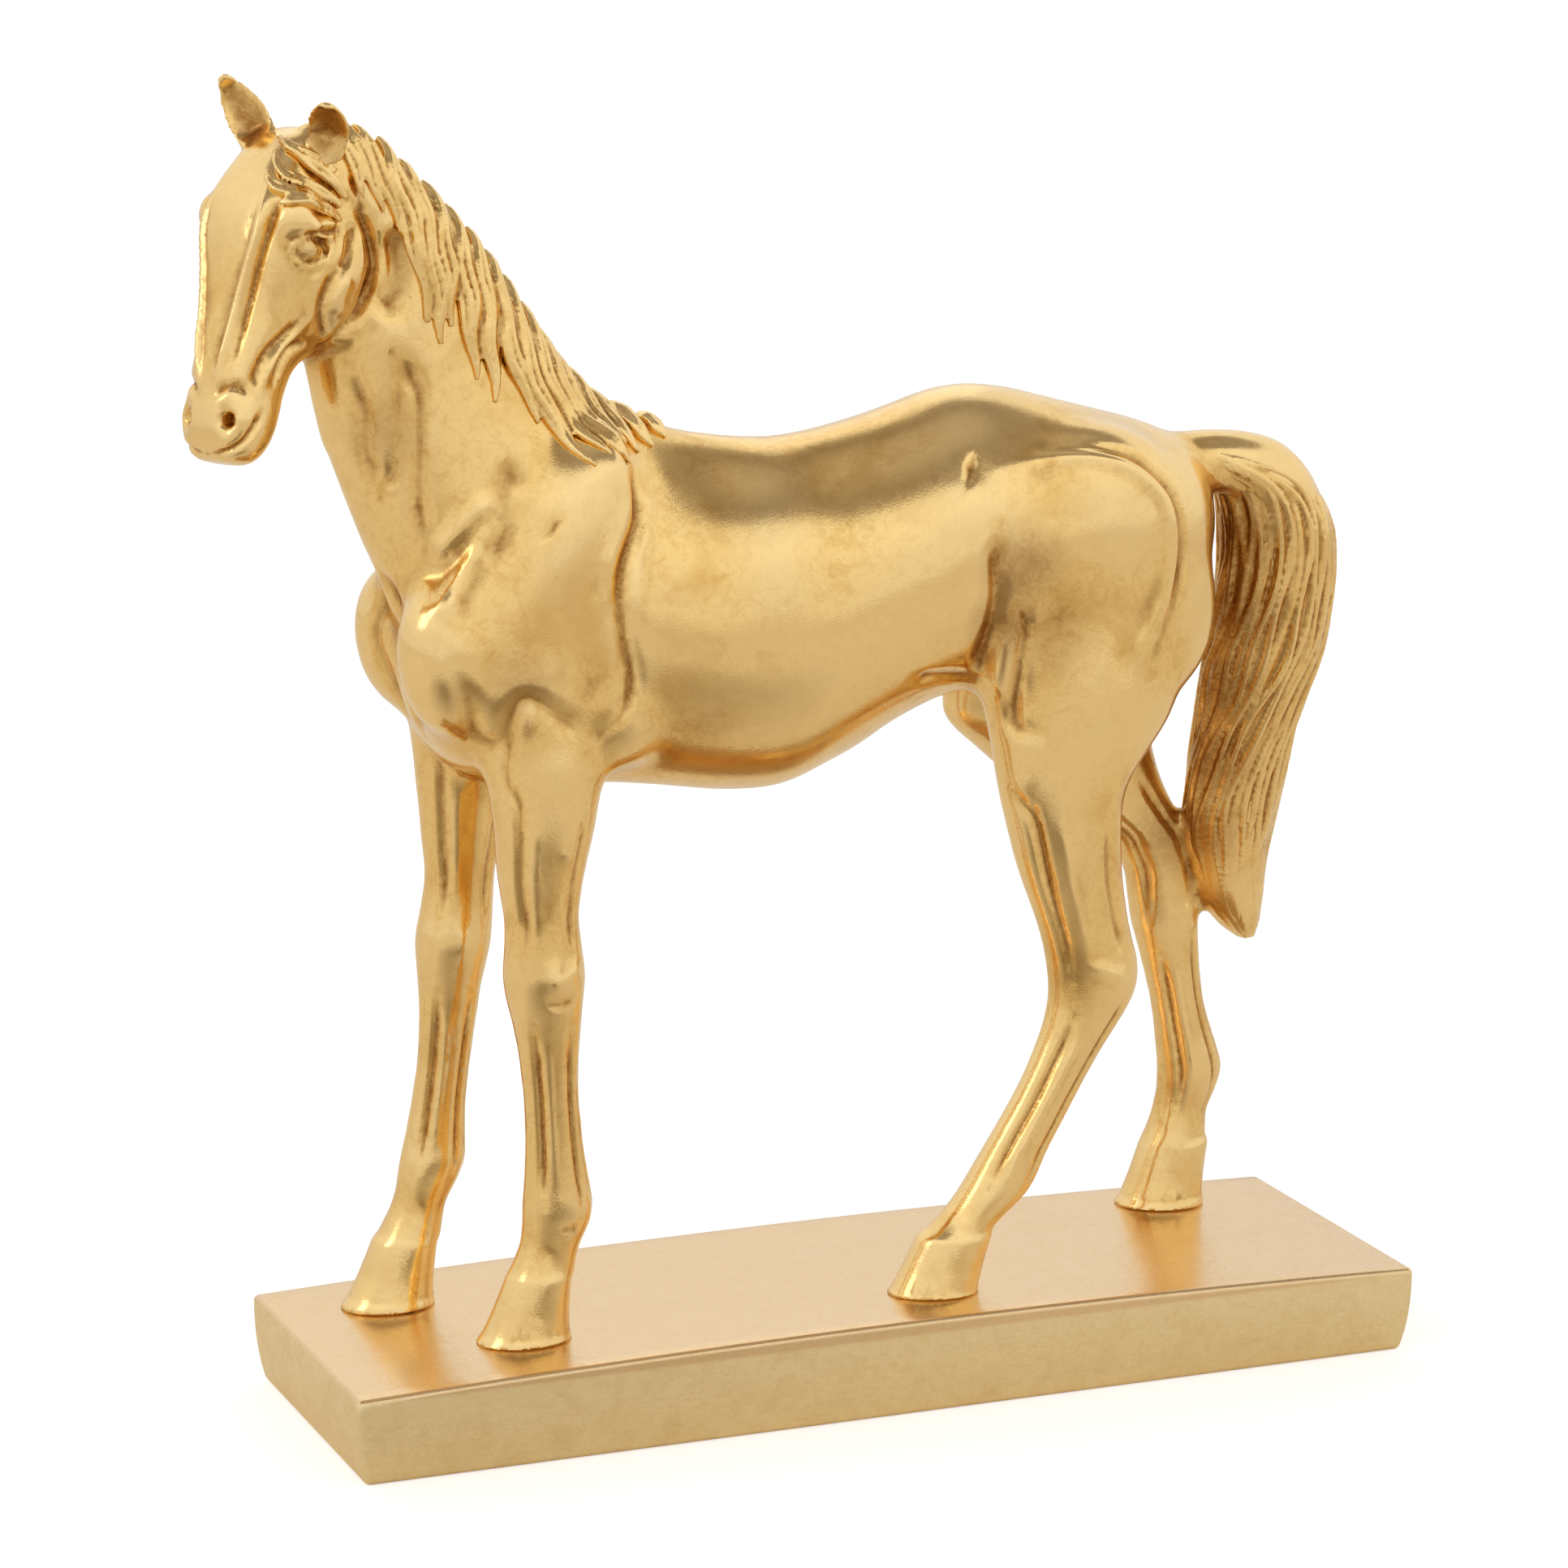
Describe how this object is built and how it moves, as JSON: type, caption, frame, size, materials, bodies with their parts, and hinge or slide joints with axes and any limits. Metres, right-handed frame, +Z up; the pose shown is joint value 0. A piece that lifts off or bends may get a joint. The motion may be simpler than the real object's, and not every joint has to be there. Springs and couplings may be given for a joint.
{
  "type": "horse statuette",
  "caption": "Standing horse statuette with its head turned aside, mane and tail cast with it, on a low oblong plinth with a slightly crowned top.",
  "frame": {"origin": "middle of the plinth's underside", "axes": "+X from the horse's chest to its tail, +Y towards its right side (away from the side its head turns to), +Z up"},
  "size_m": [0.2683, 0.0778, 0.2876],
  "materials": {
    "horse_gold": "bright satin antique-gold metallic coat over cast resin, with brown in the hollows",
    "plinth_gold": "satin antique-gold metallic coat with fine lengthwise brushing"
  },
  "bodies": {
    "root": {"horse": "horse_gold", "plinth": "plinth_gold"}
  },
  "joints": []
}
